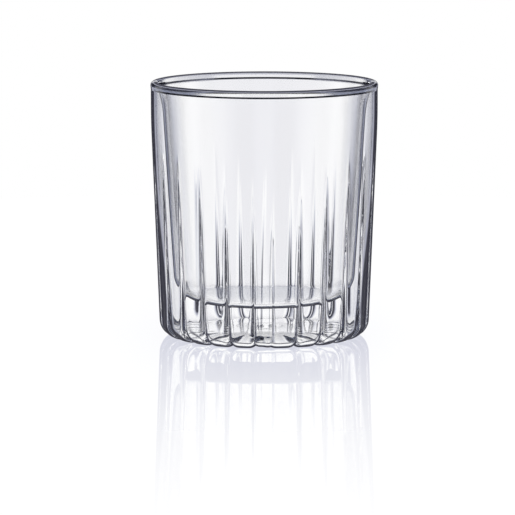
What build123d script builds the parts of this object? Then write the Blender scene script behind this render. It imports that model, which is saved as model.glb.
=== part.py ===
from build123d import *
import math
import os

# A double-walled tea glass, in millimetres and degrees. +Z is up, -Y is the front,
# and the origin is on the table, under the centre of the base.
# Two blown walls are melted together at the rim, with a sealed air gap between them.

# Overall form
overall_height = 90.0
rim_diameter = 80.0
collar_height = 13.5  # the band under the top that no longer tapers
collar_blend_length = 5.2  # how far the blend into the taper reaches each way
base_narrowing = 6.1  # how much less across than the collar the taper is at the table

# Rim
bead_diameter = 2.7
bead_proud = 0.15  # how far the bead stands out from the collar
lip_depth = 2.75  # from the top down to where the two walls part
lip_gap = 1.0  # width of the air gap just under the bead

# Outer shell
collar_wall = 1.5
heel_wall = 2.0
base_wall = 1.6
heel_radius = 6.0
foot_flat = 0.12  # how much of the heel's round is flattened where the glass stands
push_up = 1.8  # how far the base's centre is pressed up from the table

# Flutes
flute_count = 24
flute_top_drop = 9.5  # from the collar's lower edge down to where the flutes begin
groove_depth = 1.15  # at the foot of the wall
foot_groove_depth = 0.85  # where the heel turns under
groove_reach_diameter = 42.0  # where the grooves run out under the base
seam_flute_angle = 9.4  # the one narrow flute, along the mould's seam
seam_flute_start = -5.4  # its left groove, turned from the front
heel_steps = 9
underside_steps = 3

# Inner cup
cup_wall = 1.1
cup_floor = 1.2
floor_gap = 12.6  # from the table up to the cup's underside
cup_base_gap = 4.0  # air gap to the shell where the cup's wall, drawn on, meets its underside
cup_heel_radius = 10.0
flare_depth = 11.5  # from the top down to where the cup starts to flare
flare_gap = 2.7  # air gap to the shell there

# Vent seal
vent_diameter = 2.4
seal_head_diameter = 5.0
seal_head_height = 0.8
seal_tip_height = 0.5

# Sizes that follow from the ones above
rim_radius = rim_diameter / 2
bead_radius = bead_diameter / 2
groove_reach = groove_reach_diameter / 2
vent_radius = vent_diameter / 2
lip_height = overall_height - lip_depth

collar_radius = rim_radius - bead_proud
collar_base_height = overall_height - collar_height
flute_top_height = collar_base_height - flute_top_drop
base_radius = collar_radius - base_narrowing / 2
wall_slope = (collar_radius - base_radius) / collar_base_height
wall_angle = math.degrees(math.atan(wall_slope))

# The heel's round is tangent to the wall, and the glass stands on the ring under its centre.
heel_height = heel_radius - foot_flat
ring_radius = base_radius + heel_height * wall_slope - heel_radius * math.hypot(1, wall_slope)
heel_top = heel_height - heel_radius * math.sin(math.radians(wall_angle))

# The pushed-up base is a shallow dome, tangent to the heel's round.
heel_rise = heel_height - push_up
dome_radius = (ring_radius**2 + heel_rise**2 - heel_radius**2) / (2 * (heel_radius - heel_rise))
dome_edge = ring_radius * dome_radius / (dome_radius + heel_radius)

# The shell's hollow has its own taper, because the wall is thicker at the heel.
hollow_radius = collar_radius - collar_wall
hollow_slope = (hollow_radius - base_radius + heel_wall) / collar_base_height

# The cup's wall keeps its air gaps to the shell.
flare_height = overall_height - flare_depth
flare_radius = hollow_radius - flare_gap
cup_base_radius = base_radius - heel_wall + hollow_slope * floor_gap - cup_base_gap
cup_slope = (flare_radius - cup_base_radius) / (flare_height - floor_gap)
lip_outer_radius = hollow_radius - lip_gap
lip_inner_radius = lip_outer_radius - cup_wall


def wall_radius(height):
    """Outer radius of the tapering wall at a height."""
    return base_radius + wall_slope * height


def dome_height(radius):
    """Height of the pushed-up underside at a radius."""
    return push_up - dome_radius + math.sqrt(dome_radius**2 - radius**2)


def dome_arc(radius, rise):
    """The underside's curve from the centre out to a radius, raised by rise."""
    middle = radius / 2
    return ThreePointArc(
        (0, push_up + rise),
        (middle, dome_height(middle) + rise),
        (radius, dome_height(radius) + rise),
    )


def turned(face):
    """The solid made by turning a half section round the glass's axis."""
    return revolve(Plane.XZ * face, Axis.Z)


def rounded(face, corner, radius):
    """The face with the corner at a point rounded off."""
    return fillet(face.vertices().sort_by_distance(corner)[0], radius)


def blended(face, bend, slope):
    """The face with the bend between a tapering side and an upright one eased off."""
    return rounded(face, bend, collar_blend_length / math.tan(math.atan(slope) / 2))


def on_ring(angle, radius, height):
    """A point at an angle turned from the front, seen from above."""
    turn = math.radians(angle - 90)
    return Vector(radius * math.cos(turn), radius * math.sin(turn), height)


def flute_ring(crest, groove):
    """One closed ring of arcs, from groove to groove over each crest.

    crest and groove are (radius, height) pairs. The narrow flute has the same curve
    as the others, so its crest is lower.
    """
    even_angle = (360 - seam_flute_angle) / flute_count
    first = seam_flute_start + seam_flute_angle
    angles = [seam_flute_start] + [first + even_angle * i for i in range(flute_count + 1)]
    arcs = []
    for left, right in zip(angles, angles[1:]):
        share = ((right - left) / even_angle) ** 2
        radius = groove[0] + share * (crest[0] - groove[0])
        height = groove[1] + share * (crest[1] - groove[1])
        middle = on_ring((left + right) / 2, radius, height)
        arcs.append(ThreePointArc(on_ring(left, *groove), middle, on_ring(right, *groove)))
    return Wire(arcs)


def wall_ring(height, depth):
    """The ring at a height of the wall, with its grooves cut to a depth."""
    radius = wall_radius(height)
    return flute_ring((radius, height), (radius - depth, height))


def heel_ring(turn):
    """The ring at a turn round the heel, from the wall's angle to 90 underneath."""
    side = math.cos(math.radians(turn))
    down = math.sin(math.radians(turn))
    under = (turn - wall_angle) / (90 - wall_angle)
    floor = heel_radius - groove_depth + under * (groove_depth - foot_groove_depth)
    crest = (ring_radius + heel_radius * side, heel_height - heel_radius * down)
    groove = (ring_radius + floor * side, heel_height - floor * down)
    return flute_ring(crest, groove)


def underside_ring(share):
    """The ring under the base, from share 0 at the heel to 1 where the grooves run out."""
    radius = dome_edge + share * (groove_reach - dome_edge)
    height = dome_height(radius)
    return flute_ring((radius, height), (radius, height + foot_groove_depth * (1 - share)))


def plain_wall():
    """The outer form above the flutes, solid."""
    bend = (collar_radius, collar_base_height)
    profile = Polyline(
        (0, flute_top_height),
        (wall_radius(flute_top_height), flute_top_height),
        bend,
        (collar_radius, lip_height),
        (0, lip_height),
        close=True,
    )
    return turned(blended(make_face(profile), bend, wall_slope))


def fluted_form():
    """The outer form from the flutes' top down to where the grooves run out, solid."""
    step = (90 - wall_angle) / heel_steps
    rings = [wall_ring(flute_top_height, 0), wall_ring(heel_top, groove_depth)]
    rings += [heel_ring(wall_angle + step * i) for i in range(1, heel_steps + 1)]
    rings += [underside_ring(i / underside_steps) for i in range(underside_steps + 1)]
    return Solid.make_loft(rings, ruled=True)


def dome_hollow():
    """The space between the table's side of the base and the plane of the grooves' ends."""
    edge_height = dome_height(groove_reach)
    sides = Polyline((groove_reach, edge_height), (0, edge_height), (0, push_up))
    return turned(make_face([dome_arc(groove_reach, 0), sides]))


def shell_hollow():
    """The space that the shell encloses, up to the lip."""
    floor = dome_arc(base_radius - heel_wall + hollow_slope * base_wall, base_wall)
    bend = (hollow_radius, collar_base_height)
    lip = (hollow_radius, lip_height)
    sides = Polyline(floor @ 1, bend, lip, (0, lip_height), floor @ 0)
    face = rounded(make_face([floor, sides]), floor @ 1, heel_radius - base_wall)
    return turned(blended(face, bend, hollow_slope))


def vent_hole():
    """The breathing hole through the base's centre."""
    return extrude(Circle(vent_radius), push_up + base_wall + seal_tip_height)


def outer_shell():
    """The fluted outer wall and base, one blown piece."""
    standing = split(plain_wall() + fluted_form(), Plane.XY, keep=Keep.TOP)
    return standing - dome_hollow() - shell_hollow() - vent_hole()


def cup_form(inset, rise):
    """The cup's outer form, solid, or its hollow where inset and rise are its glass."""
    base_height = floor_gap + rise
    corner = (cup_base_radius + cup_slope * rise - inset, base_height)
    bend = (flare_radius - inset, flare_height)
    wall = Line(corner, bend)
    flare = TangentArc(bend, (lip_outer_radius - inset, lip_height), tangent=wall % 1)
    sides = Polyline((lip_outer_radius - inset, lip_height), (0, lip_height), (0, base_height), corner)
    return turned(rounded(make_face([wall, flare, sides]), corner, cup_heel_radius - inset))


def inner_cup():
    """The plain tapered cup that holds the tea."""
    return cup_form(0, 0) - cup_form(cup_wall, cup_floor)


def rim_bead():
    """The melted rim that both walls run into, with the air gap's round end under it."""
    seat = Line((lip_inner_radius, lip_height), (collar_radius, lip_height))
    bead_centre = (rim_radius - bead_radius, overall_height - bead_radius)
    section = make_hull([seat, CenterArc(bead_centre, bead_radius, 0, 360)])
    gap_centre = (hollow_radius - lip_gap / 2, lip_height)
    return turned(section - Pos(*gap_centre) * Circle(lip_gap / 2))


def cap(radius, height):
    """A low round cap on the XY plane, thick by height at its centre."""
    ball_radius = (radius**2 + height**2) / (2 * height)
    ball = Pos(0, 0, height - ball_radius) * Sphere(ball_radius)
    return split(ball, Plane.XY)


def vent_seal(shell):
    """The drop of glass that fills the vent hole, with a low head on each side of the base."""
    base_top = push_up + base_wall
    head = Pos(0, 0, push_up) * Rot(180, 0, 0) * cap(seal_head_diameter / 2, seal_head_height)
    neck = extrude(Pos(0, 0, push_up) * Circle(vent_radius), base_wall)
    tip = Pos(0, 0, base_top) * cap(vent_radius, seal_tip_height)
    return head + neck + tip - shell


def main():
    """Builds the four pieces and writes each to its own file."""
    shell = outer_shell()
    pieces = {
        "outer_shell": shell,
        "inner_cup": inner_cup(),
        "rim_bead": rim_bead(),
        "vent_seal": vent_seal(shell),
    }
    os.makedirs("parts", exist_ok=True)
    for name, piece in pieces.items():
        export_step(piece, f"parts/{name}.step")
        print(f"{name}: {len(piece.solids())} solid, {piece.volume:.0f} mm3")


main()
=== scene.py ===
import logging
import math
from dataclasses import dataclass
from enum import Enum
from typing import Callable, Union

import bpy
import numpy as np
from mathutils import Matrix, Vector
from mathutils.kdtree import KDTree


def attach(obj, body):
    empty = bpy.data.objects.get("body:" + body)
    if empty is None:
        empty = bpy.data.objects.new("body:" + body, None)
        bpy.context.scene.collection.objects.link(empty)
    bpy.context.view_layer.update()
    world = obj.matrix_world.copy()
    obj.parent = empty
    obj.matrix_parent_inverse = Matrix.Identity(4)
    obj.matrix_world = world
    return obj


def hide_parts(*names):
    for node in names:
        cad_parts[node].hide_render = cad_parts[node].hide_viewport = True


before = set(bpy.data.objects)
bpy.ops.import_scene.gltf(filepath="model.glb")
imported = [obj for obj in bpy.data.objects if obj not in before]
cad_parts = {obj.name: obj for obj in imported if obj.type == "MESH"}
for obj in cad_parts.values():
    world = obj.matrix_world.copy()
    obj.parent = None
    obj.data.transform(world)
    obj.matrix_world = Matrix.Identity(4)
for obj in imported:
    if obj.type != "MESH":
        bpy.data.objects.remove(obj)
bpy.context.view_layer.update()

MILLIMETRE = 0.001
PHOTO_WIDTH = 515
SAME_POINT = 1e-4  # in millimetres
MERGE_DISTANCE = 1e-7
SEAM_MERGE_DISTANCE = 1e-6
SMOOTH_ANGLE = math.radians(40)

log = logging.getLogger("tea_glass")

Point = tuple[float, float]
Colour = tuple[float, float, float]
Band = tuple[float, float]

WHITE: Colour = (1.0, 1.0, 1.0)


class GlassSlot(Enum):
    """The record's material slots, one for each piece of glass."""

    SHELL = "shell_glass"
    CUP = "cup_glass"
    RIM = "rim_glass"
    SEAL = "seal_glass"


class Skin(Enum):
    """What a face of a piece is: its outer side, its inner side, or melted to its neighbour."""

    OUTER = 0
    INNER = 1
    MELTED = 2


# -------------------- shader maths


@dataclass(frozen=True)
class Value:
    """One socket of a node tree, with the arithmetic that the finishes use."""

    tree: "ShaderTree"
    socket: bpy.types.NodeSocket

    def __add__(self, other: "Number") -> "Value":
        """Returns self + other."""
        return self.tree.math("ADD", self, other)

    def __radd__(self, other: "Number") -> "Value":
        """Returns other + self."""
        return self.tree.math("ADD", other, self)

    def __sub__(self, other: "Number") -> "Value":
        """Returns self - other."""
        return self.tree.math("SUBTRACT", self, other)

    def __rsub__(self, other: "Number") -> "Value":
        """Returns other - self."""
        return self.tree.math("SUBTRACT", other, self)

    def __mul__(self, other: "Number") -> "Value":
        """Returns self * other."""
        return self.tree.math("MULTIPLY", self, other)

    def __rmul__(self, other: "Number") -> "Value":
        """Returns other * self."""
        return self.tree.math("MULTIPLY", other, self)

    def __truediv__(self, other: "Number") -> "Value":
        """Returns self / other."""
        return self.tree.math("DIVIDE", self, other)


Number = Union[Value, float]


class ShaderTree:
    """Builds one node tree from expressions and named nodes."""

    def __init__(self, owner: bpy.types.ID) -> None:
        """Clears the node tree of a material or world and takes it over.

        Args:
            owner: The material or world whose nodes are built.
        """
        owner.use_nodes = True
        self.nodes = owner.node_tree.nodes
        self.links = owner.node_tree.links
        self.nodes.clear()

    def node(
        self,
        kind: str,
        sockets: Union[dict, None] = None,
        settings: Union[dict, None] = None,
        out: Union[int, str] = 0,
    ) -> Value:
        """Adds one node.

        Args:
            kind: The node's type without its ShaderNode prefix.
            sockets: Values or links for its inputs, by name or number.
            settings: Values set on the node itself; stops is a ramp's list of (place, colour).
            out: The output that is returned, by name or number.

        Returns:
            The chosen output, ready for more maths.
        """
        made = self.nodes.new("ShaderNode" + kind)
        for name, setting in (settings or {}).items():
            if name == "stops":
                self._set_stops(made.color_ramp, setting)
            else:
                setattr(made, name, setting)
        for key, value in (sockets or {}).items():
            if isinstance(value, Value):
                self.links.new(value.socket, made.inputs[key])
            else:
                made.inputs[key].default_value = value
        return Value(self, made.outputs[out]) if made.outputs else Value(self, None)

    @staticmethod
    def _set_stops(ramp: bpy.types.ColorRamp, stops: list[tuple[float, Colour]]) -> None:
        """Gives a ramp its stops, from the first to the last."""
        while len(ramp.elements) < len(stops):
            ramp.elements.new(1.0)
        for element, (place, colour) in zip(ramp.elements, stops):
            element.position = place
            element.color = (*colour, 1.0)

    def math(self, operation: str, *terms: Number) -> Value:
        """Adds one Math node with the given terms."""
        return self.node("Math", dict(enumerate(terms)), {"operation": operation})

    def ease(self, value: Number, start: float, end: float) -> Value:
        """Returns 0 before start, 1 after end, and a smooth rise between them."""
        sockets = {"Value": value, "From Min": start, "From Max": end}
        return self.node("MapRange", sockets, {"interpolation_type": "SMOOTHSTEP"})

    def blend(
        self, factor: Number, first: Union[Value, Colour], second: Union[Value, Colour]
    ) -> Value:
        """Returns a colour between first and second, by a factor."""
        ends = [c if isinstance(c, Value) else (*c, 1.0) for c in (first, second)]
        return self.node("Mix", {0: factor, 6: ends[0], 7: ends[1]}, {"data_type": "RGBA"}, 2)

    def mix_shader(self, factor: Number, first: Value, second: Value) -> Value:
        """Returns a shader between first and second, by a factor."""
        return self.node("MixShader", {0: factor, 1: first, 2: second})

    def place(self) -> Value:
        """Returns the Object coordinates."""
        return self.node("TexCoord", out="Object")

    def axes(self, vector: Value) -> tuple[Value, Value, Value]:
        """Returns the three parts of a vector."""
        split = self.node("SeparateXYZ", {0: vector}).socket.node
        return tuple(Value(self, split.outputs[i]) for i in range(3))

    def facing(self, normal: Union[Value, None] = None) -> Value:
        """Returns 0 where a surface, or another normal, faces the eye, to 1 at its edge."""
        sockets = {"Blend": 0.5} if normal is None else {"Blend": 0.5, "Normal": normal}
        return self.node("LayerWeight", sockets, out="Facing")

    def ray(self, kind: str) -> Value:
        """Returns 1 for rays of a kind, such as Is Camera Ray."""
        return self.node("LightPath", out=kind)

    def finish(self, surface: Value, output: str = "OutputMaterial") -> None:
        """Links a shader to the tree's output."""
        self.node(output, {"Surface": surface})


# -------------------- finishes


@dataclass(frozen=True)
class BlownGlass:
    """Clear blown glass with a faint cool tint and the soft unevenness of hand work.

    A painted shade darkens the glass where it is seen edge on, from painted_soft_shade to
    painted_edge_shade, in place of the dark studio that clear glass refracts at its edges.
    Light that falls on the table goes through it, because the table's shadow of clear glass
    is only a tint. Heights and radii are in metres.

    Attributes:
        edge_strength: How much of the clear glass the painted edge shade covers.
        edge_start: The slant at which the painted edge shade begins.
        edge_end: The slant from which the painted edge shade is at its full darkness.
        low_slant: How much is added to the slant at the foot, fading over low_band, which widens
            the painted edge shade there.
        floor_radius: Inside this radius the slant counts for nothing.
        echo_strength: How dark the painted second line inside the edge is. It fades over echo_band.
        ring: Whether the piece is a ring, whose slant is that of its section alone.
        ring_band: Where a ring faces the eye, the heights over which its painted edge shade comes
            in.
        side_band: How far a ring turns from the eye for its painted edge shade to come in at any
            height.
    """

    name: str
    edge_strength: float = 0.3
    edge_start: float = 0.70
    edge_end: float = 0.98
    painted_edge_shade: Colour = (0.05, 0.05, 0.07)
    painted_soft_shade: Colour = (0.40, 0.41, 0.49)
    low_slant: float = 0.0
    low_band: Band = (0.002, 0.060)
    floor_radius: float = 0.0
    echo_strength: float = 0.0
    echo_start: float = 0.47
    echo_peak: float = 0.53
    echo_end: float = 0.59
    echo_band: Band = (0.003, 0.010)
    ring: bool = False
    ring_band: Union[Band, None] = None
    side_band: Band = (0.03, 0.16)
    tint: Colour = (0.999, 0.999, 1.0)
    deep_tint: Colour = (0.993, 0.994, 0.997)
    shade: Colour = (0.80, 0.82, 0.86)
    ior: float = 1.47
    mirror_tint: Colour = (0.12, 0.12, 0.12)
    roughness: float = 0.004
    ripple_size: float = 0.020
    ripple_detail: float = 1.5
    ripple_height: float = 0.000003
    stippled: bool = False
    stipple_inner: float = 0.0062
    stipple_outer: float = 0.0098
    stipple_edge: float = 0.0005
    stipple_top: float = 0.0026
    stipple_count: int = 36
    stipple_side: Band = (0.12, 0.3)
    stipple_height: float = 0.00022

    def ripple(self, tree: ShaderTree) -> Value:
        """Returns the slow waves of the blown surface, from 0 to 1."""
        scale, detail = 1 / self.ripple_size, self.ripple_detail
        sockets = {"Vector": tree.place(), "Scale": scale, "Detail": detail}
        return tree.node("TexNoise", sockets, {"noise_dimensions": "3D"})

    def stipple(self, tree: ShaderTree) -> Value:
        """Returns a ring of short radial ribs under the base, from 0 to 1."""
        x, y, z = tree.axes(tree.place())
        radius = tree.math("SQRT", x * x + y * y)
        turn = tree.math("ARCTAN2", y, x) * (self.stipple_count / math.tau)
        rib = tree.ease(tree.math("PINGPONG", turn, 0.5), *self.stipple_side)
        inside = tree.ease(radius, self.stipple_inner, self.stipple_inner + self.stipple_edge)
        outside = 1 - tree.ease(radius, self.stipple_outer - self.stipple_edge, self.stipple_outer)
        under = tree.math("LESS_THAN", z, self.stipple_top)
        return rib * inside * outside * under

    def slant(self, tree: ShaderTree) -> Value:
        """Returns how far the surface turns from the line of sight, from 0 to 1, which sets the
        painted edge shade.

        On a ring only its rolling over the top counts, not its turning round the axis.
        """
        facing = tree.facing()
        x, y, z = tree.axes(tree.place())
        if self.ring:
            level = tree.node("CombineXYZ", {"X": x, "Y": y})
            outwards = tree.node("VectorMath", {0: level}, {"operation": "NORMALIZE"})
            away = tree.facing(outwards)
            up = tree.facing(tree.node("CombineXYZ", {"Z": 1.0}))
            seen = tree.math("SQRT", (1 - away) * (1 - away) + (1 - up) * (1 - up))
            rolled = 1 - (1 - facing) / seen
            if self.ring_band is None:
                return rolled
            above = tree.ease(z, *self.ring_band)
            aside = tree.ease(away, *self.side_band)
            return rolled * tree.math("MAXIMUM", above, aside)
        # At the foot the slant is raised, so the painted edge shade is wider there.
        if self.low_slant:
            return facing + (1 - tree.ease(z, *self.low_band)) * self.low_slant
        if self.floor_radius:
            beyond = tree.math("GREATER_THAN", x * x + y * y, self.floor_radius**2)
            return facing * beyond
        return facing

    def echo(self, tree: ShaderTree, slant: Value) -> Value:
        """Returns a painted fine second dark line inside the edge, low down, like the one that
        thick glass shows by refraction.
        """
        _, _, z = tree.axes(tree.place())
        rise = tree.ease(slant, self.echo_start, self.echo_peak)
        fall = tree.ease(slant, self.echo_peak, self.echo_end)
        return (rise - fall) * (1 - tree.ease(z, *self.echo_band)) * self.echo_strength

    def make(self) -> bpy.types.Material:
        """Builds the material.

        Returns:
            The finished glass.
        """
        material = bpy.data.materials.new(self.name)
        tree = ShaderTree(material)
        wave = self.ripple(tree)
        bump = {"Height": wave, "Distance": self.ripple_height, "Strength": 1.0}
        normal = tree.node("Bump", bump)
        if self.stippled:
            ribs = {"Height": self.stipple(tree), "Distance": self.stipple_height, "Strength": 1.0}
            normal = tree.node("Bump", {**ribs, "Normal": normal})
        # Painted edge shade: a matte layer, from painted_soft_shade to painted_edge_shade, is mixed
        # over the clear glass where it is seen edge on.
        slant = self.slant(tree)
        half_way = (self.edge_start + self.edge_end) / 2
        soft = tree.ease(slant, self.edge_start, half_way) * self.edge_strength
        hard = tree.ease(slant, half_way, self.edge_end)
        # A painted second dark line joins the painted edge shade low down.
        if self.echo_strength:
            echo = self.echo(tree, slant)
            soft, hard = (tree.math("MAXIMUM", part, echo) for part in (soft, hard))
        clear = tree.node("BsdfPrincipled", {
            "Base Color": tree.blend(wave, self.tint, self.deep_tint),
            "Roughness": self.roughness * (0.5 + wave),
            "IOR": self.ior,
            "Specular Tint": (*self.mirror_tint, 1.0),
            "Transmission Weight": 1.0,
            "Normal": normal,
        })
        # The painted shade itself: a matte sheet without gloss, in place of the dark studio seen
        # through the edges.
        dark = tree.node("BsdfPrincipled", {
            "Base Color": tree.blend(hard, self.painted_soft_shade, self.painted_edge_shade),
            "Roughness": 1.0,
            "Specular IOR Level": 0.0,
        })
        glass = tree.mix_shader(soft, clear, dark)
        tinted = tree.node("BsdfTransparent", {"Color": (*self.shade, 1.0)})
        soft_ray = tree.math("MAXIMUM", tree.ray("Is Shadow Ray"), tree.ray("Is Diffuse Ray"))
        tree.finish(tree.mix_shader(soft_ray, glass, tinted))
        return material


@dataclass(frozen=True)
class MeltedJoint:
    """The inside of a melted joint, where light passes from piece to piece unbent."""

    name: str

    def make(self) -> bpy.types.Material:
        """Builds the material.

        Returns:
            The finished joint.
        """
        material = bpy.data.materials.new(self.name)
        tree = ShaderTree(material)
        tree.finish(tree.node("BsdfTransparent", {"Color": (*WHITE, 1.0)}))
        return material


@dataclass(frozen=True)
class PolishedTable:
    """A white polished table that mirrors the glass and fades with distance.

    Rays that have been through the glass go on to the studio under the table's level,
    so the glass stays as bright below as above.

    Attributes:
        mirror: How much the table mirrors of each colour. It mirrors less of the blue's
            darkness, so the image is bluish on white.
        glow: The table's own brightness, just over white, because the image costs a little.
        fade_start: The distance from the glass's axis at which the image begins to fade.
        fade_end: The distance at which it is gone.
    """

    name: str = "polished_table"
    mirror: Colour = (0.36, 0.35, 0.27)
    glow: float = 1.04
    fade_start: float = 0.035
    fade_end: float = 0.48
    dull_facing: float = 0.5
    bright_facing: float = 0.86
    shadow_part: float = 0.05
    blur: float = 0.008

    def ground(self, tree: ShaderTree, colour: Colour) -> Value:
        """Returns the lit surface that takes the glass's faint shadow, in a colour."""
        lit = tree.node("BsdfDiffuse", {"Color": (*colour, 1.0)})
        plain = tree.node("Emission", {"Color": (*colour, 1.0), "Strength": self.glow})
        return tree.mix_shader(self.shadow_part, plain, lit)

    def make(self) -> bpy.types.Material:
        """Builds the material.

        Returns:
            The finished table top.
        """
        material = bpy.data.materials.new(self.name)
        tree = ShaderTree(material)
        x, y, _ = tree.axes(tree.place())
        radius = tree.math("SQRT", x * x + y * y)
        near = (self.fade_end - radius) / (self.fade_end - self.fade_start)
        near = tree.math("MINIMUM", tree.math("MAXIMUM", near, 0.0), 1.0)
        rest = tuple(1 - part for part in self.mirror)
        gloss = tree.node("BsdfGlossy", {"Color": (*self.mirror, 1.0), "Roughness": self.blur})
        coated = tree.node("AddShader", {0: self.ground(tree, rest), 1: gloss})
        low_view = tree.ease(tree.facing(), self.dull_facing, self.bright_facing)
        top = tree.mix_shader(near * near * low_view, self.ground(tree, WHITE), coated)
        open_air = tree.node("BsdfTransparent", {"Color": (*WHITE, 1.0)})
        tree.finish(tree.mix_shader(tree.ray("Is Camera Ray"), open_air, top))
        return material


# -------------------- modelling aid


class Section:
    """A half section of the glass, drawn from point to point in millimetres."""

    def __init__(self) -> None:
        """Starts an empty section."""
        self.points: list[Point] = []
        self.groove: list[float] = []

    def add(self, radius: float, height: float, groove: float = 0.0) -> None:
        """Adds one point, with the depth to which the flutes' grooves cut there."""
        if self.points and math.dist(self.points[-1], (radius, height)) < SAME_POINT:
            return
        self.points.append((radius, height))
        self.groove.append(groove)

    def line(
        self,
        end: Point,
        steps: int = 1,
        groove: Callable[[float], float] = lambda share: 0.0,
    ) -> None:
        """Adds a straight run from the last point.

        Args:
            end: Where it ends.
            steps: How many pieces it has.
            groove: The grooves' depth at a share of the run.
        """
        start = self.points[-1]
        for i in range(1, steps + 1):
            share = i / steps
            here = [a + share * (b - a) for a, b in zip(start, end)]
            self.add(*here, groove(share))

    def arc(
        self,
        centre: Point,
        radius: float,
        start: float,
        end: float,
        steps: int,
        groove: Callable[[float], float] = lambda share: 0.0,
    ) -> None:
        """Adds an arc, its ends included.

        Args:
            centre: The arc's centre.
            radius: Its radius.
            start: The angle of its first end, in degrees.
            end: The angle of its last end, in degrees.
            steps: How many pieces it has.
            groove: The grooves' depth at a share of the arc.
        """
        for i in range(steps + 1):
            share = i / steps
            angle = math.radians(start + share * (end - start))
            here = (centre[0] + radius * math.cos(angle), centre[1] + radius * math.sin(angle))
            self.add(*here, groove(share))

    def join(self, other: "Section") -> None:
        """Adds another section's points, from its last to its first."""
        for point, groove in reversed(list(zip(other.points, other.groove))):
            self.add(*point, groove)


def on_plane(point: Point, angle: float) -> Vector:
    """Returns a section's point in space, on the half plane at an angle from the front."""
    turn = math.radians(angle)
    radius, height = point
    return Vector((radius * math.sin(turn), -radius * math.cos(turn), height)) * MILLIMETRE


def bare_hands() -> None:
    """Leaves edit mode and deselects everything."""
    if bpy.context.object and bpy.context.object.mode == "EDIT":
        bpy.ops.object.mode_set(mode="OBJECT")
    bpy.ops.object.select_all(action="DESELECT")


def turn_section(
    name: str,
    section: Section,
    closed: bool,
    start: float,
    sweeps: list[tuple[float, int]],
) -> bpy.types.Object:
    """Draws a half section vertex by vertex and spins it round the glass's axis.

    Args:
        name: The new object's name.
        section: The half section.
        closed: Whether the section is a loop; otherwise both its ends are on the axis.
        start: The angle from the front at which the section is drawn.
        sweeps: The turns that make up the full circle, as (degrees, steps).

    Returns:
        The turned object, closed, with its faces pointing outwards.
    """
    bare_hands()
    bpy.ops.mesh.primitive_plane_add(size=MILLIMETRE, location=(0, 0, 0))
    piece = bpy.context.object
    piece.name = name
    piece.data.name = name
    bpy.ops.object.mode_set(mode="EDIT")
    bpy.ops.mesh.select_all(action="SELECT")
    bpy.ops.mesh.merge(type="CENTER")
    spots = [on_plane(point, start) for point in section.points]
    bpy.ops.transform.translate(value=spots[0])
    if closed:
        spots.append(spots[0])
    for before, after in zip(spots, spots[1:]):
        bpy.ops.mesh.extrude_region_move(TRANSFORM_OT_translate={"value": after - before})
    bpy.ops.mesh.select_all(action="SELECT")
    bpy.ops.mesh.remove_doubles(threshold=MERGE_DISTANCE)
    for degrees, steps in sweeps:
        angle = math.radians(degrees)
        bpy.ops.mesh.spin(steps=steps, angle=angle, center=(0, 0, 0), axis=(0, 0, 1))
    bpy.ops.mesh.select_all(action="SELECT")
    bpy.ops.mesh.remove_doubles(threshold=SEAM_MERGE_DISTANCE)
    bpy.ops.mesh.normals_make_consistent(inside=False)
    bpy.ops.object.mode_set(mode="OBJECT")
    return piece


def places(piece: bpy.types.Object) -> np.ndarray:
    """Returns the piece's vertices, in metres, one row each."""
    flat = np.zeros(len(piece.data.vertices) * 3, np.float64)
    piece.data.vertices.foreach_get("co", flat)
    return flat.reshape(-1, 3)


def smooth_rise(value: np.ndarray, start: float, end: float) -> np.ndarray:
    """Returns 0 before start, 1 after end, and a smooth rise between them."""
    share = np.clip((value - start) / (end - start), 0, 1)
    return share * share * (3 - 2 * share)


def put(piece: bpy.types.Object, spots: np.ndarray) -> None:
    """Moves the piece's vertices to new places, in metres."""
    piece.data.vertices.foreach_set("co", spots.ravel())
    piece.data.update()


def dress(
    piece: bpy.types.Object,
    outer: BlownGlass,
    inner: BlownGlass,
    skin: Callable[[Point, Point], Skin],
    node: str,
    slot: GlassSlot,
) -> None:
    """Smooths a piece, gives it its finishes, and puts it in its CAD node's place.

    Args:
        piece: The new piece.
        outer: The finish of its outer side.
        inner: The finish of its inner side.
        skin: What a face is, from its centre as (radius, height) in millimetres, and its
            normal's parts away from the axis and up.
        node: The CAD node that it replaces.
        slot: The record's material slot.
    """
    for finish in (outer, inner, MeltedJoint(f"{slot.value}_joint")):
        piece.data.materials.append(finish.make())
    for face in piece.data.polygons:
        outwards = Vector((face.center.x, face.center.y, 0))
        centre = (outwards.length / MILLIMETRE, face.center.z / MILLIMETRE)
        facing = (face.normal.dot(outwards.normalized()), face.normal.z)
        face.material_index = skin(centre, facing).value
    bare_hands()
    piece.select_set(True)
    bpy.context.view_layer.objects.active = piece
    bpy.ops.object.shade_smooth_by_angle(angle=SMOOTH_ANGLE)
    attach(piece, "root")
    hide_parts(node)
    triangles = sum(len(face.vertices) - 2 for face in piece.data.polygons)
    log.info("%s stands for %s: %d triangles", piece.name, node, triangles)


# -------------------- sub-assemblies


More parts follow.
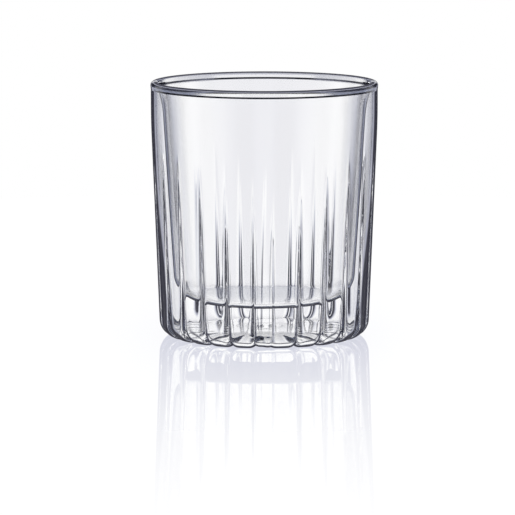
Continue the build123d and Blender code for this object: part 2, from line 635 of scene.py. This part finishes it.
@dataclass(frozen=True)
class GlassForm:
    """The sizes that the pieces share, in millimetres and degrees."""

    overall_height: float = 90.0
    rim_diameter: float = 80.0
    collar_height: float = 13.5
    collar_blend_length: float = 5.2
    base_narrowing: float = 6.1
    bead_diameter: float = 2.7
    bead_proud: float = 0.15
    lip_depth: float = 2.75
    lip_gap: float = 1.0
    collar_wall: float = 1.5
    heel_wall: float = 2.0
    base_wall: float = 1.6
    heel_radius: float = 6.0
    foot_flat: float = 0.12
    push_up: float = 1.8
    cup_wall: float = 1.1
    vent_diameter: float = 2.4
    seal_head_diameter: float = 5.0
    seal_head_height: float = 0.8
    seal_tip_height: float = 0.5

    @property
    def lip_height(self) -> float:
        """Where the two walls run into the rim."""
        return self.overall_height - self.lip_depth

    @property
    def collar_radius(self) -> float:
        """Outer radius of the band under the rim."""
        return self.rim_diameter / 2 - self.bead_proud

    @property
    def collar_base_height(self) -> float:
        """Where the taper, drawn on, meets the collar."""
        return self.overall_height - self.collar_height

    @property
    def base_radius(self) -> float:
        """Outer radius of the taper, drawn on to the table."""
        return self.collar_radius - self.base_narrowing / 2

    @property
    def wall_slope(self) -> float:
        """How much the outer radius grows with height."""
        return (self.collar_radius - self.base_radius) / self.collar_base_height

    @property
    def hollow_radius(self) -> float:
        """Inner radius of the shell's collar."""
        return self.collar_radius - self.collar_wall

    @property
    def hollow_base_radius(self) -> float:
        """Radius of the shell's hollow, drawn on to the table."""
        return self.base_radius - self.heel_wall

    @property
    def hollow_slope(self) -> float:
        """How much the hollow's radius grows with height."""
        return (self.hollow_radius - self.hollow_base_radius) / self.collar_base_height

    @property
    def heel_centre(self) -> Point:
        """Centre of the heel's round."""
        height = self.heel_radius - self.foot_flat
        slant = math.hypot(1, self.wall_slope)
        return self.base_radius + height * self.wall_slope - self.heel_radius * slant, height

    @property
    def dome_radius(self) -> float:
        """Radius of the pushed-up underside's curve."""
        ring, height = self.heel_centre
        rise = height - self.push_up
        return (ring**2 + rise**2 - self.heel_radius**2) / (2 * (self.heel_radius - rise))

    @property
    def lip_outer_radius(self) -> float:
        """Outer radius of the inner cup at the rim."""
        return self.hollow_radius - self.lip_gap

    @property
    def lip_inner_radius(self) -> float:
        """Inner radius of the inner cup at the rim."""
        return self.lip_outer_radius - self.cup_wall

    @property
    def vent_radius(self) -> float:
        """Radius of the breathing hole."""
        return self.vent_diameter / 2

    def dome_height(self, radius: float) -> float:
        """Returns the underside's height at a radius."""
        return self.push_up - self.dome_radius + math.sqrt(self.dome_radius**2 - radius**2)

    def blend(self, radius: float, slope: float) -> tuple[float, Point]:
        """Returns the radius and centre of the round from a taper into the collar.

        Args:
            radius: The collar's radius, outer or inner.
            slope: How much the taper's radius grows with height.
        """
        curve = self.collar_blend_length / math.tan(math.atan(slope) / 2)
        height = self.collar_base_height + self.collar_blend_length
        return curve, (radius - curve, height)

    @property
    def seal_ball_radius(self) -> float:
        """Radius of the seal's outer head."""
        half_way = self.seal_head_diameter / 2
        return (half_way**2 + self.seal_head_height**2) / (2 * self.seal_head_height)

    @property
    def seal_edge(self) -> float:
        """Radius at which the seal's head meets the underside."""
        ball = self.seal_ball_radius
        apart = ball - self.seal_head_height + self.dome_radius
        along = (apart**2 + ball**2 - self.dome_radius**2) / (2 * apart)
        return math.sqrt(ball**2 - along**2)


@dataclass
class OuterShell:
    """The fluted outer wall and base, one blown piece.

    Angles are turned from the front, in degrees.

    Attributes:
        seam_flute_angle: The width of the one narrow flute, along the mould's seam.
        faint_groove_share: How deep the groove on the right of the seam flute is.
        valley_share: How wide a groove's rounded bottom is, as a share of its flute.
        lobe_power: How flat the lobes between the grooves are, 2 for a plain curve.
        tall_growth: groove_growth for the sides, from tall_band on. The grooves start higher.
        fine_share: How deep the grooves behind are, from fine_band on.
        crowding: How much the columns of faces crowd towards the grooves.
        reach: How near a vertex is to a point of the outer section if it comes from it.
    """

    form: GlassForm
    flute_count: int = 24
    flute_top_drop: float = 9.5
    groove_depth: float = 1.15
    foot_groove_depth: float = 0.85
    groove_reach: float = 21.0
    seam_flute_angle: float = 9.4
    seam_flute_start: float = -5.4
    faint_groove_share: float = 0.45
    valley_share: float = 0.06
    lobe_power: float = 13.0
    tall_band: Band = (22.0, 42.0)
    tall_growth: float = 1.25
    fine_band: Band = (75.0, 125.0)
    fine_share: float = 0.55
    foot_lobe_power: float = 4.5
    foot_lobe_top: float = 0.014
    groove_growth: float = 1.7
    crowding: float = 0.82
    reach: float = 0.02
    angle_slack: float = 1e-4
    flute_steps: int = 20
    seam_steps: int = 16
    under_steps: int = 8
    heel_steps: int = 18
    wall_steps: int = 26
    blend_steps: int = 6
    collar_steps: int = 2
    floor_steps: int = 12
    hollow_heel_steps: int = 14
    hollow_steps: int = 16
    fitting_rounds: int = 12
    # Both sides carry a painted edge shade; on the outside it is widened towards the foot and has a
    # painted second dark line low down.
    outer_glass: BlownGlass = BlownGlass(
        "shell_outside", 0.96, 0.69, 0.78,
        painted_edge_shade=(0.035, 0.035, 0.05), low_slant=0.2, echo_strength=1.0, stippled=True,
    )
    inner_glass: BlownGlass = BlownGlass("shell_inside", 0.85, 0.76, 0.88, floor_radius=0.0318)

    def outside(self) -> Section:
        """Returns the outer side of the half section, from the vent hole up to the lip."""
        form = self.form
        section = Section()
        centre = form.heel_centre
        dome_radius = form.dome_radius
        tilt = math.degrees(math.asin(centre[0] / (dome_radius + form.heel_radius)))
        dome_edge = centre[0] * dome_radius / (dome_radius + form.heel_radius)
        for radius in (form.vent_radius, form.seal_edge):
            section.add(radius, form.dome_height(radius))
        for i in range(1, self.under_steps + 1):
            radius = form.seal_edge + (self.groove_reach - form.seal_edge) * i / self.under_steps
            section.add(radius, form.dome_height(radius))
        for i in range(1, self.under_steps + 1):
            share = i / self.under_steps
            radius = self.groove_reach + (dome_edge - self.groove_reach) * share
            section.add(radius, form.dome_height(radius), self.foot_groove_depth * share)
        wall_angle = math.degrees(math.atan(form.wall_slope))
        turned = self.groove_depth - self.foot_groove_depth
        section.arc(
            centre, form.heel_radius, -90 - tilt, -wall_angle, self.heel_steps,
            lambda share: self.foot_groove_depth + turned * share,
        )
        flute_top = form.collar_base_height - self.flute_top_drop
        wall_top = (form.base_radius + form.wall_slope * flute_top, flute_top)
        section.line(
            wall_top, self.wall_steps,
            lambda share: self.groove_depth * (1 - share) ** self.groove_growth,
        )
        blend_radius, blend_centre = form.blend(form.collar_radius, form.wall_slope)
        section.arc(blend_centre, blend_radius, -wall_angle, 0, self.blend_steps)
        section.line((form.collar_radius, form.lip_height), self.collar_steps)
        return section

    def inside(self) -> Section:
        """Returns the inner side of the half section, from the vent hole up to the lip."""
        form = self.form
        section = Section()
        round_radius = form.heel_radius - form.base_wall
        dome_centre = form.push_up + form.base_wall - form.dome_radius
        slope = form.hollow_slope
        height = form.base_wall + round_radius
        # The round touches both the wall and the floor, so its centre is found in rounds.
        for _ in range(self.fitting_rounds):
            across = form.hollow_base_radius + slope * height - round_radius * math.hypot(1, slope)
            height = dome_centre + math.sqrt((form.dome_radius + round_radius) ** 2 - across**2)
        edge = across * form.dome_radius / (form.dome_radius + round_radius)
        for i in range(self.floor_steps + 1):
            radius = form.vent_radius + (edge - form.vent_radius) * i / self.floor_steps
            section.add(radius, form.dome_height(radius) + form.base_wall)
        tilt = math.degrees(math.asin(across / (form.dome_radius + round_radius)))
        hollow_angle = math.degrees(math.atan(slope))
        section.arc(
            (across, height), round_radius, -90 - tilt, -hollow_angle, self.hollow_heel_steps
        )
        blend_radius, blend_centre = form.blend(form.hollow_radius, slope)
        blend_start = math.radians(-hollow_angle)
        foot = (
            blend_centre[0] + blend_radius * math.cos(blend_start),
            blend_centre[1] + blend_radius * math.sin(blend_start),
        )
        section.line(foot, self.hollow_steps)
        section.arc(blend_centre, blend_radius, -hollow_angle, 0, self.blend_steps)
        section.line((form.hollow_radius, form.lip_height), self.collar_steps)
        return section

    def flute_of(self, turn: np.ndarray) -> tuple[np.ndarray, np.ndarray, np.ndarray]:
        """Finds the flute that each angle is in.

        Args:
            turn: Angles from the front, in degrees.

        Returns:
            Each flute's first angle, its width, and the angle's share of the way across it.
        """
        even = (360 - self.seam_flute_angle) / self.flute_count
        slack = self.angle_slack
        past = np.mod(turn - self.seam_flute_start + slack, 360) - slack
        in_seam = past < self.seam_flute_angle
        number = np.floor((past - self.seam_flute_angle + slack) / even)
        first = np.where(in_seam, 0.0, self.seam_flute_angle + number * even)
        width = np.where(in_seam, self.seam_flute_angle, even)
        return self.seam_flute_start + first, width, np.clip((past - first) / width, 0, 1)

    def crowd_columns(self, spots: np.ndarray) -> np.ndarray:
        """Returns the vertices turned towards the grooves, where the form bends most."""
        first, width, share = self.flute_of(np.degrees(np.arctan2(spots[:, 0], -spots[:, 1])))
        share = share - self.crowding * np.sin(2 * np.pi * share) / (2 * np.pi)
        turn = np.radians(first + width * share)
        across = np.hypot(spots[:, 0], spots[:, 1])
        return np.column_stack((across * np.sin(turn), -across * np.cos(turn), spots[:, 2]))

    def flute_share(self, turn: np.ndarray, power: np.ndarray) -> np.ndarray:
        """Returns how far down into a groove each angle is, 0 on an even flute's crest.

        Args:
            turn: Angles from the front, in degrees.
            power: How flat the lobes between the grooves are, 2 for a plain curve.

        Returns:
            The shares. The narrow seam flute has the same curve, so its crest is lower.
        """
        even = (360 - self.seam_flute_angle) / self.flute_count
        _, width, share = self.flute_of(turn)
        across = np.abs(2 * share - 1)
        valley = self.valley_share * even / width
        steep = power * (1 - valley) ** (power - 1)
        bottom = (1 - valley) ** power + steep * valley / 2
        lobe = across**power
        soft = bottom - steep / (2 * valley) * (1 - across) ** 2
        shape = np.where(across < 1 - valley, lobe, soft) / bottom
        narrow = (width / even) ** 2
        faint_turn = self.seam_flute_start + self.seam_flute_angle
        away = np.clip(np.abs(turn - faint_turn) / (self.seam_flute_angle / 2), 0, 1)
        faint = self.faint_groove_share + (1 - self.faint_groove_share) * away**2
        return (1 - narrow * (1 - shape)) * faint

    def press_flutes(self, piece: bpy.types.Object, outside: Section) -> None:
        """Presses the grooves into the outer side, along its normals, and flattens the foot."""
        tree = KDTree(len(outside.points))
        for i, (radius, height) in enumerate(outside.points):
            tree.insert((radius, height, 0), i)
        tree.balance()
        spots = places(piece)
        across = np.hypot(spots[:, 0], spots[:, 1]) / MILLIMETRE
        depth = np.zeros(len(spots))
        for i, (radius, height) in enumerate(zip(across, spots[:, 2] / MILLIMETRE)):
            _, index, away = tree.find((radius, height, 0))
            if away < self.reach:
                depth[i] = outside.groove[index]
        spots = self.crowd_columns(spots)
        put(piece, spots)
        turn = np.degrees(np.arctan2(spots[:, 0], -spots[:, 1]))
        normals = np.zeros(len(spots) * 3)
        piece.data.vertices.foreach_get("normal", normals)
        rise = np.clip(spots[:, 2] / self.foot_lobe_top, 0, 1)
        power = self.foot_lobe_power + (self.lobe_power - self.foot_lobe_power) * rise**2
        aside = smooth_rise(np.abs(turn), *self.tall_band)
        behind = smooth_rise(np.abs(turn), *self.fine_band)
        growth = 1 - (1 - self.tall_growth / self.groove_growth) * aside * (1 - behind)
        depth = self.groove_depth * (depth / self.groove_depth) ** growth
        finer = 1 - (1 - self.fine_share) * behind
        push = depth * finer * self.flute_share(turn, power) * MILLIMETRE
        spots -= normals.reshape(-1, 3) * push[:, None]
        spots[:, 2] = np.maximum(spots[:, 2], 0.0)
        put(piece, spots)

    def build(self) -> bpy.types.Object:
        """Models the shell.

        Returns:
            The finished piece.
        """
        section = Section()
        outside = self.outside()
        for point, groove in zip(outside.points, outside.groove):
            section.add(*point, groove)
        section.join(self.inside())
        sweeps = [
            (self.seam_flute_angle, self.seam_steps),
            (360 - self.seam_flute_angle, self.flute_count * self.flute_steps),
        ]
        piece = turn_section("fluted_shell", section, True, self.seam_flute_start, sweeps)
        self.press_flutes(piece, outside)
        dress(piece, self.outer_glass, self.inner_glass, self.skin, "outer_shell", GlassSlot.SHELL)
        return piece

    def skin(self, centre: Point, facing: Point) -> Skin:
        """Returns whether a face is melted to the rim or seal, outside, or in the hollow."""
        form = self.form
        radius, height = centre
        at_lip = height > form.lip_height - 1e-3 and facing[1] > 0.9
        if at_lip or radius < form.vent_radius or (radius < form.seal_edge and facing[1] < -0.9):
            return Skin.MELTED
        inwards, upwards = facing[0] < -0.3, facing[1] > 0.3
        return Skin.INNER if upwards or (inwards and facing[1] > -0.02) else Skin.OUTER


@dataclass
class InnerCup:
    """The plain tapered cup that holds the tea."""

    form: GlassForm
    cup_floor: float = 1.2
    floor_gap: float = 12.6
    cup_base_gap: float = 4.0
    cup_heel_radius: float = 10.0
    flare_depth: float = 11.5
    flare_gap: float = 2.7
    floor_steps: int = 6
    heel_steps: int = 22
    wall_steps: int = 14
    flare_steps: int = 10
    turn_steps: int = 288
    # Both sides carry a painted edge shade; on the outside it is widened low on the cup, under
    # low_band.
    outer_glass: BlownGlass = BlownGlass(
        "cup_outside", 0.92, 0.76, 0.90, low_slant=0.34, low_band=(0.0128, 0.0165)
    )
    inner_glass: BlownGlass = BlownGlass("cup_inside")

    def side(self, inset: float, rise: float) -> Section:
        """Returns one side of the half section, from the axis out and up to the lip.

        Args:
            inset: How far it is inside the cup's outer wall.
            rise: How far it is above the cup's underside.
        """
        form = self.form
        flare_height = form.overall_height - self.flare_depth
        flare_radius = form.hollow_radius - self.flare_gap
        hollow_radius = form.hollow_base_radius + form.hollow_slope * self.floor_gap
        base_radius = hollow_radius - self.cup_base_gap
        slope = (flare_radius - base_radius) / (flare_height - self.floor_gap)
        low = self.floor_gap + rise
        round_radius = self.cup_heel_radius - inset
        # The corner is where the inset wall and the floor would meet.
        corner = base_radius + slope * rise - inset
        wall = (flare_radius - inset - corner) / (flare_height - low)
        slant = math.hypot(1, wall)
        centre = (corner + wall * round_radius - round_radius * slant, low + round_radius)
        section = Section()
        section.add(0.0, low)
        section.line((centre[0], low), self.floor_steps)
        wall_angle = math.degrees(math.atan(wall))
        section.arc(centre, round_radius, -90, -wall_angle, self.heel_steps)
        bend = (flare_radius - inset, flare_height)
        section.line(bend, self.wall_steps)
        lip = (form.lip_outer_radius - inset, form.lip_height)
        normal = (1 / slant, -wall / slant)
        step = (lip[0] - bend[0], lip[1] - bend[1])
        curve = (step[0] ** 2 + step[1] ** 2) / (2 * (step[0] * normal[0] + step[1] * normal[1]))
        middle = (bend[0] + normal[0] * curve, bend[1] + normal[1] * curve)
        start = math.degrees(math.atan2(bend[1] - middle[1], bend[0] - middle[0])) % 360
        end = math.degrees(math.atan2(lip[1] - middle[1], lip[0] - middle[0])) % 360
        section.arc(middle, curve, start, end, self.flare_steps)
        return section

    def build(self) -> bpy.types.Object:
        """Models the cup.

        Returns:
            The finished piece.
        """
        section = self.side(0.0, 0.0)
        section.join(self.side(self.form.cup_wall, self.cup_floor))
        piece = turn_section("tea_cup", section, False, 0.0, [(360.0, self.turn_steps)])
        dress(piece, self.outer_glass, self.inner_glass, self.skin, "inner_cup", GlassSlot.CUP)
        return piece

    def skin(self, centre: Point, facing: Point) -> Skin:
        """Returns whether a face is melted to the rim, holds the tea, or is outside."""
        _, height = centre
        if height > self.form.lip_height - 1e-3 and facing[1] > 0.9:
            return Skin.MELTED
        return Skin.INNER if facing[1] > 0 else Skin.OUTER


@dataclass
class RimBead:
    """The melted rim that both walls run into."""

    form: GlassForm
    gap_rise: float = 0.6
    bead_steps: int = 34
    gap_steps: int = 14
    turn_steps: int = 320
    # Painted shade: the outside's painted edge shade comes in along the bead's top, and the air
    # gap's end is painted nearly black all round.
    outer_glass: BlownGlass = BlownGlass(
        "rim_outside", 0.92, 0.05, 0.24,
        painted_edge_shade=(0.06, 0.06, 0.08), ring=True, ring_band=(0.0888, 0.0891),
    )
    inner_glass: BlownGlass = BlownGlass(
        "rim_gap_end", 0.97, -0.02, 0.02,
        painted_edge_shade=(0.01, 0.01, 0.014), painted_soft_shade=(0.10, 0.10, 0.13), ring=True,
    )

    def section(self) -> Section:
        """Returns the bead's section, from its inner foot over the top and back over the gap."""
        form = self.form
        round_radius = form.bead_diameter / 2
        centre = (form.rim_diameter / 2 - round_radius, form.overall_height - round_radius)
        inner = (form.lip_inner_radius, form.lip_height)
        outer = (form.collar_radius, form.lip_height)
        ends = []
        for foot, side in ((inner, 1), (outer, -1)):
            reach = math.dist(foot, centre)
            heading = math.atan2(foot[1] - centre[1], foot[0] - centre[0])
            ends.append(math.degrees(heading - side * math.acos(round_radius / reach)) % 360)
        gap_radius = form.lip_gap / 2
        gap_centre = (form.hollow_radius - gap_radius, form.lip_height)
        section = Section()
        section.add(*inner)
        section.arc(centre, round_radius, ends[0], ends[1] - 360, self.bead_steps)
        section.add(*outer)
        for i in range(self.gap_steps + 1):
            turn = math.pi * i / self.gap_steps
            across = gap_centre[0] + gap_radius * math.cos(turn)
            section.add(across, gap_centre[1] + self.gap_rise * math.sin(turn))
        return section

    def build(self) -> bpy.types.Object:
        """Models the rim.

        Returns:
            The finished piece.
        """
        piece = turn_section("melted_rim", self.section(), True, 0.0, [(360.0, self.turn_steps)])
        dress(piece, self.outer_glass, self.inner_glass, self.skin, "rim_bead", GlassSlot.RIM)
        return piece

    def skin(self, centre: Point, facing: Point) -> Skin:
        """Returns whether a face is where a wall runs in, the air gap's end, or outside."""
        radius, height = centre
        if height < self.form.lip_height + 1e-3 and facing[1] < -0.9:
            return Skin.MELTED
        over_gap = self.form.lip_outer_radius < radius < self.form.hollow_radius
        low = height < self.form.lip_height + self.form.lip_gap
        return Skin.INNER if over_gap and low else Skin.OUTER


@dataclass
class VentSeal:
    """The drop of glass that fills the breathing hole."""

    form: GlassForm
    head_steps: int = 10
    tip_steps: int = 8
    turn_steps: int = 72
    # Both sides carry the default painted edge shade.
    outer_glass: BlownGlass = BlownGlass("seal_outside")
    inner_glass: BlownGlass = BlownGlass("seal_inside")

    def section(self) -> Section:
        """Returns the drop's half section, from its lowest point to its highest."""
        form = self.form
        ball = form.seal_ball_radius
        low = form.push_up - form.seal_head_height
        half = math.degrees(math.asin(form.seal_edge / ball))
        section = Section()
        section.arc((0.0, low + ball), ball, -90, -90 + half, self.head_steps)
        section.add(form.vent_radius, form.dome_height(form.vent_radius))
        shoulder = form.dome_height(form.vent_radius) + form.base_wall
        section.add(form.vent_radius, shoulder)
        tip = form.seal_tip_height
        tip_ball = (form.vent_radius**2 + tip**2) / (2 * tip)
        half = math.degrees(math.asin(form.vent_radius / tip_ball))
        section.arc((0.0, shoulder + tip - tip_ball), tip_ball, 90 - half, 90, self.tip_steps)
        return section

    def build(self) -> bpy.types.Object:
        """Models the seal.

        Returns:
            The finished piece.
        """
        piece = turn_section("vent_drop", self.section(), False, 0.0, [(360.0, self.turn_steps)])
        dress(piece, self.outer_glass, self.inner_glass, self.skin, "vent_seal", GlassSlot.SEAL)
        return piece

    def skin(self, centre: Point, facing: Point) -> Skin:
        """Returns whether a face is in the shell's glass, in its hollow, or outside."""
        form = self.form
        _, height = centre
        shoulder = form.dome_height(form.vent_radius) + form.base_wall
        if form.dome_height(form.seal_edge) < height < shoulder:
            return Skin.MELTED
        return Skin.INNER if facing[1] > 0 else Skin.OUTER


# -------------------- stage


@dataclass
class Table:
    """The table top that the glass stands on."""

    radius: float = 0.42
    drop: float = 0.00004
    corners: int = 128
    finish: PolishedTable = PolishedTable()

    def build(self) -> bpy.types.Object:
        """Models the table top.

        Returns:
            The table top.
        """
        bare_hands()
        bpy.ops.mesh.primitive_circle_add(
            vertices=self.corners, radius=self.radius, fill_type="NGON", location=(0, 0, -self.drop)
        )
        top = bpy.context.object
        top.name = "table_top"
        bpy.ops.object.transform_apply(location=True)
        top.data.materials.append(self.finish.make())
        return top


@dataclass
class Studio:
    """A white studio for clear glass: bright panels all round, dark gaps between them.

    The panels repeat, so the glass has the same bright body and dark edges from every
    side. What is seen directly, or mirrored by the table, is plain white.

    Attributes:
        panel_turn: Half the turn after which the panels repeat, in degrees.
        panel: The light at angles from a panel's middle.
        table_band: The angles below the horizon over which panels turn into table.
        ceiling_band: The angles above it over which they turn into dark ceiling.
        overhead_band: The angles over which that turns into light.
    """

    panel_turn: float = 22.5
    panel: tuple[tuple[float, Colour], ...] = (
        (0.0, (0.87, 0.87, 0.90)),
        (1.4, (0.88, 0.88, 0.905)),
        (2.6, (0.98, 0.98, 0.99)),
        (5.5, (1.0, 1.0, 1.0)),
        (8.0, (0.82, 0.83, 0.88)),
        (11.0, (0.42, 0.43, 0.51)),
        (14.0, (0.06, 0.06, 0.08)),
        (22.5, (0.02, 0.02, 0.03)),
    )
    dark: Colour = (0.05, 0.05, 0.07)
    table_band: Band = (20.0, 40.0)
    ceiling_band: Band = (15.0, 26.0)
    overhead_band: Band = (58.0, 68.0)

    def build(self) -> None:
        """Builds the world."""
        world = bpy.data.worlds.new("studio")
        bpy.context.scene.world = world
        tree = ShaderTree(world)
        x, y, z = tree.axes(tree.node("TexCoord", out="Generated"))
        turn = tree.math("ARCTAN2", x, y) * (180 / math.pi)
        fold = tree.math("PINGPONG", turn, self.panel_turn) / self.panel_turn
        stops = [(angle / self.panel_turn, colour) for angle, colour in self.panel]
        panels = tree.node("ValToRGB", {"Fac": fold}, {"stops": stops})
        rise = tree.math("ARCSINE", z) * (180 / math.pi)
        light = tree.blend(tree.ease(rise * -1, *self.table_band), panels, WHITE)
        light = tree.blend(tree.ease(rise, *self.ceiling_band), light, self.dark)
        light = tree.blend(tree.ease(rise, *self.overhead_band), light, WHITE)
        # A ray that the table mirrors is at its first bounce, and sees the white.
        mirrored = tree.math("LESS_THAN", tree.ray("Ray Depth"), 1.5)
        inside = tree.ray("Is Glossy Ray") * (1 - mirrored)
        refracted = tree.math("MAXIMUM", tree.ray("Is Transmission Ray"), inside)
        colour = tree.blend(refracted, WHITE, light)
        tree.finish(tree.node("Background", {"Color": colour, "Strength": 1.0}), "OutputWorld")


@dataclass
class PhotoCamera:
    """A long lens a little above the glass, as in the photograph."""

    distance: float = 1.402
    height: float = 0.2160
    aside: float = -0.00238
    pitch: float = 7.66
    focal_pixels: float = 4005.0
    sensor: float = 36.0
    clip_start: float = 0.05
    clip_end: float = 20.0

    def build(self) -> bpy.types.Object:
        """Places the camera.

        Returns:
            The camera.
        """
        data = bpy.data.cameras.new("photo_camera")
        data.sensor_width = self.sensor
        data.lens = self.sensor * self.focal_pixels / PHOTO_WIDTH
        data.clip_start = self.clip_start
        data.clip_end = self.clip_end
        camera = bpy.data.objects.new("photo_camera", data)
        bpy.context.scene.collection.objects.link(camera)
        camera.location = (self.aside, -self.distance, self.height)
        camera.rotation_euler = (math.radians(90 - self.pitch), 0, 0)
        bpy.context.scene.camera = camera
        return camera


def set_view() -> None:
    """Sets the plain view transform, and enough bounces for light in clear glass."""
    scene = bpy.context.scene
    scene.view_settings.view_transform = "Standard"
    scene.cycles.max_bounces = 32
    scene.cycles.transmission_bounces = 32
    scene.cycles.glossy_bounces = 16
    scene.cycles.transparent_max_bounces = 64


def main() -> None:
    """Builds the glass and the studio round it."""
    logging.basicConfig(level=logging.INFO, format="%(name)s: %(message)s")
    form = GlassForm()
    for part in (OuterShell(form), InnerCup(form), RimBead(form), VentSeal(form)):
        part.build()
    Table().build()
    Studio().build()
    PhotoCamera().build()
    set_view()


if __name__ == "__main__":
    main()
